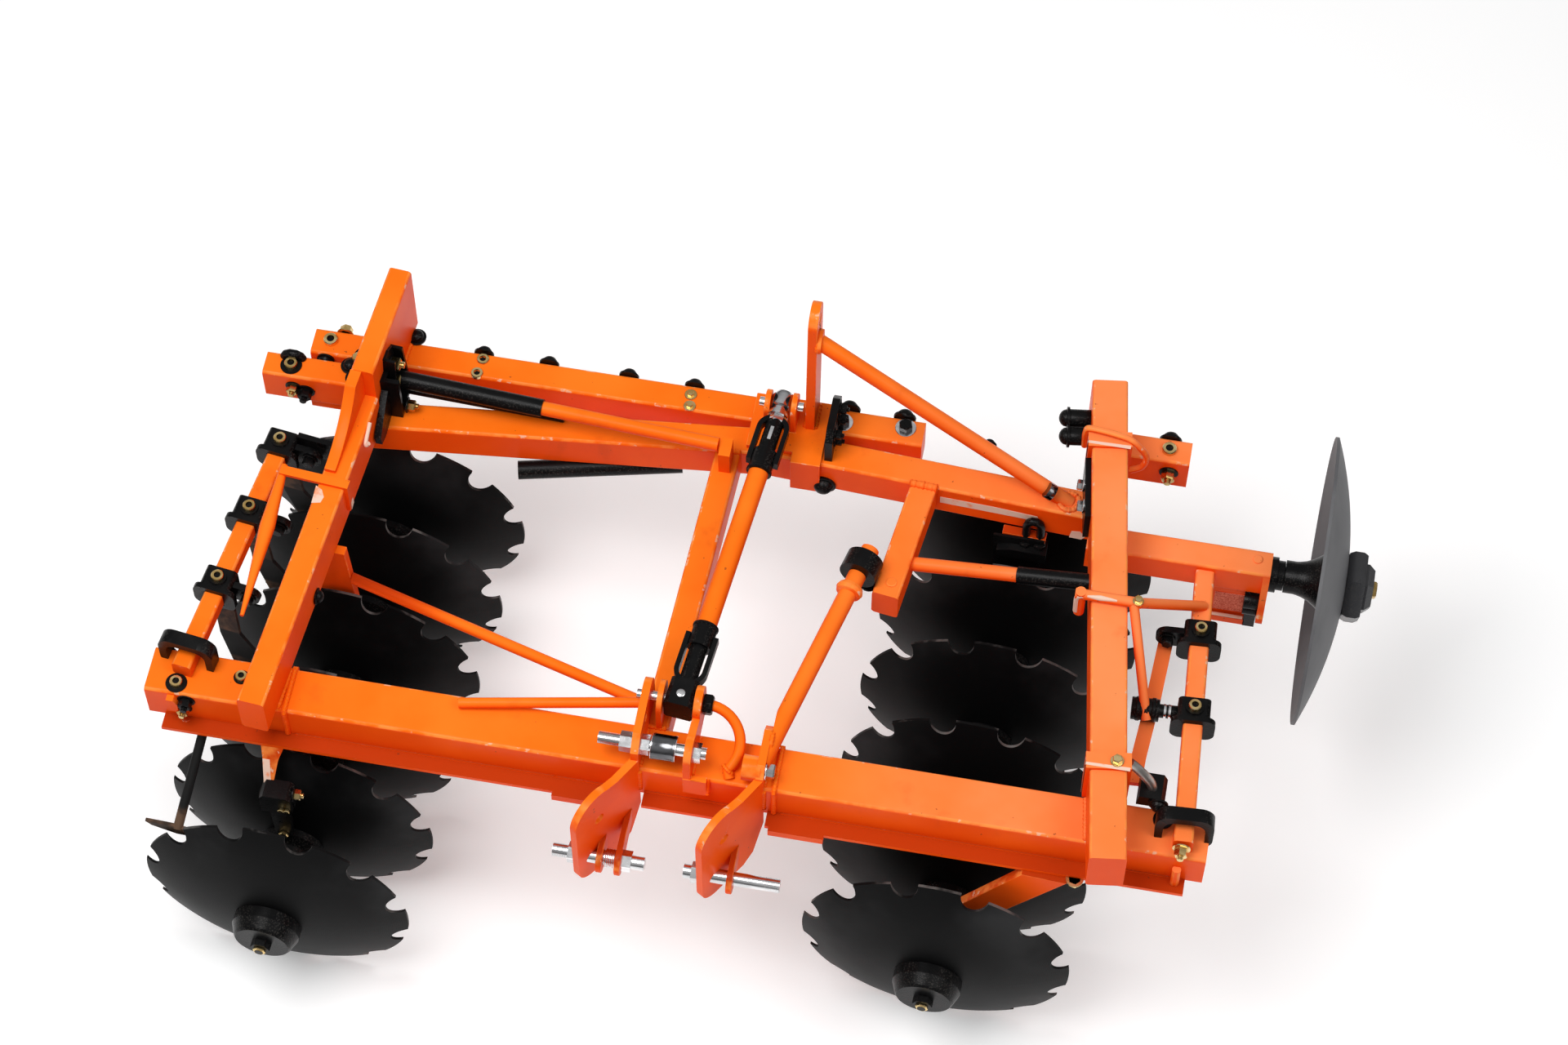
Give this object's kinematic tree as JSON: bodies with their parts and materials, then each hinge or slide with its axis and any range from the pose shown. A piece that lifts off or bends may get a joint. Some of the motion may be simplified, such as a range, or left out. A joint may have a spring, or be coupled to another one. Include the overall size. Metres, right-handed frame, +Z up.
{
  "type": "mounted disc harrow",
  "caption": "Tractor-mounted disc harrow: two gangs of notched dished discs under a welded tube frame, with a plate hitch, screw links, scrapers and one plain side disc.",
  "frame": {"origin": "centre of the harrow's overall box, on the floor under its discs", "axes": "+X along the near beam to the right, +Y from the hitch to the rear, +Z up"},
  "size_m": [2.424, 1.3553, 1.092],
  "materials": {
    "orange_paint": "glossy orange enamel over welded steel tube",
    "black_paint": "satin black paint over castings and brackets",
    "disc_steel": "near-black lacquered disc steel",
    "bright_pins": "bright plated hitch pins",
    "zinc_plate": "yellow zinc plate on axle ends and bolts"
  },
  "bodies": {
    "frame": {"near_beam": "orange_paint", "left_beam": "orange_paint", "left_tower": "orange_paint", "left_gusset": "orange_paint", "right_beam": "orange_paint", "middle_beam_left": "orange_paint", "middle_beam_right": "orange_paint", "left_stub": "orange_paint", "disc_arm": "orange_paint", "rear_beam": "orange_paint", "rear_stub": "orange_paint", "centre_tube": "orange_paint", "splice_plate": "orange_paint", "mast_plate": "orange_paint", "mast_brace": "orange_paint", "hitch_left": "orange_paint", "hitch_centre": "orange_paint", "hitch_right": "orange_paint", "hitch_ears": "orange_paint", "link_tube": "orange_paint", "inner_arm": "orange_paint", "hitch_stay": "orange_paint", "adjuster_rods": "orange_paint", "near_stays": "orange_paint", "beam_straps": "orange_paint", "scraper_rail": "orange_paint", "left_scraper_bar": "orange_paint", "right_scraper_bar": "orange_paint", "hangers": "orange_paint", "link_ends": "black_paint", "stay_collar": "black_paint", "adjuster_ends": "black_paint", "brackets": "black_paint", "scraper_clamps": "black_paint", "bearings": "black_paint", "side_axle": "black_paint", "scrapers": "disc_steel", "lower_pin_left": "bright_pins", "lower_pin_right": "bright_pins", "top_pin": "bright_pins", "link_pins": "bright_pins"},
    "left_gang": {"left_axle": "zinc_plate", "left_discs": "disc_steel", "left_spools": "black_paint"},
    "right_gang": {"right_axle": "zinc_plate", "right_discs": "disc_steel", "right_spools": "black_paint"},
    "side_wheel": {"side_hub": "black_paint", "side_disc": "disc_steel"}
  },
  "joints": [
    {"name": "left_gang_spin", "type": "hinge", "parent": "frame", "child": "left_gang", "pos_m": [-0.928, -0.53939, 0.28], "axis": [0.0436, 0.999, 0], "continuous": true},
    {"name": "right_gang_spin", "type": "hinge", "parent": "frame", "child": "right_gang", "pos_m": [0.432, -0.41939, 0.28], "axis": [0.0436, 0.999, 0], "continuous": true},
    {"name": "side_disc_spin", "type": "hinge", "parent": "frame", "child": "side_wheel", "pos_m": [1.052, 0.36561, 0.66], "axis": [1, 0, 0], "continuous": true}
  ]
}
